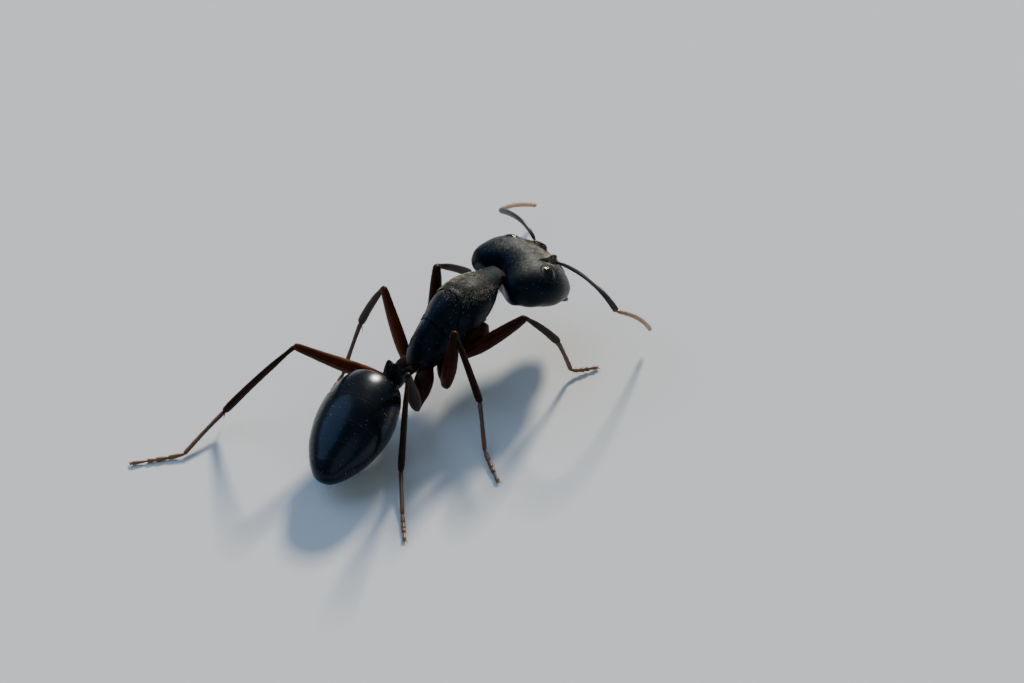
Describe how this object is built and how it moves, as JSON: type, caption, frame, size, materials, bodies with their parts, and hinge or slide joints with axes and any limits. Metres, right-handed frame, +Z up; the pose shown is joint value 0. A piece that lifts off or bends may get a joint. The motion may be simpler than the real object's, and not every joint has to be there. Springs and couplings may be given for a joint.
{
  "type": "life-size model of a black carpenter ant",
  "caption": "Large worker of the black carpenter ant, standing still on its feet with its feelers held out and one hind leg stretched back.",
  "frame": {"origin": "middle of the whole model's box, on the floor that the feet stand on", "axes": "+Y from the head to the tail end, so the ant faces -Y; +X towards its left side; +Z up"},
  "size_m": [0.0098, 0.0198, 0.0046],
  "materials": {
    "body_cuticle": "satin black cuticle with fine net-like grain",
    "gaster_cuticle": "glossy blue-black cuticle",
    "eye_lens": "glossy black compound eye",
    "leg_cuticle": "red-brown cuticle, a little see-through",
    "tip_cuticle": "tan cuticle with short pale hair"
  },
  "bodies": {
    "root": {"head": "body_cuticle", "eye_left": "eye_lens", "mandible_left": "body_cuticle", "eye_right": "eye_lens", "mandible_right": "body_cuticle", "pronotum": "body_cuticle", "mesothorax": "body_cuticle", "propodeum": "body_cuticle", "petiole": "body_cuticle", "gaster_1": "gaster_cuticle", "gaster_2": "gaster_cuticle", "gaster_3": "gaster_cuticle", "gaster_4": "gaster_cuticle", "gaster_5": "gaster_cuticle", "coxa_left_fore": "leg_cuticle", "trochanter_left_fore": "leg_cuticle", "femur_left_fore": "leg_cuticle", "tibia_left_fore": "leg_cuticle", "tarsus_left_fore": "tip_cuticle", "coxa_right_fore": "leg_cuticle", "trochanter_right_fore": "leg_cuticle", "femur_right_fore": "leg_cuticle", "tibia_right_fore": "leg_cuticle", "tarsus_right_fore": "tip_cuticle", "coxa_left_mid": "leg_cuticle", "trochanter_left_mid": "leg_cuticle", "femur_left_mid": "leg_cuticle", "tibia_left_mid": "leg_cuticle", "tarsus_left_mid": "tip_cuticle", "coxa_right_mid": "leg_cuticle", "trochanter_right_mid": "leg_cuticle", "femur_right_mid": "leg_cuticle", "tibia_right_mid": "leg_cuticle", "tarsus_right_mid": "tip_cuticle", "coxa_left_hind": "leg_cuticle", "trochanter_left_hind": "leg_cuticle", "femur_left_hind": "leg_cuticle", "tibia_left_hind": "leg_cuticle", "tarsus_left_hind": "tip_cuticle", "coxa_right_hind": "leg_cuticle", "trochanter_right_hind": "leg_cuticle", "femur_right_hind": "leg_cuticle", "tibia_right_hind": "leg_cuticle", "tarsus_right_hind": "tip_cuticle", "scape_left": "body_cuticle", "funiculus_left": "tip_cuticle", "scape_right": "body_cuticle", "funiculus_right": "tip_cuticle"}
  },
  "joints": []
}
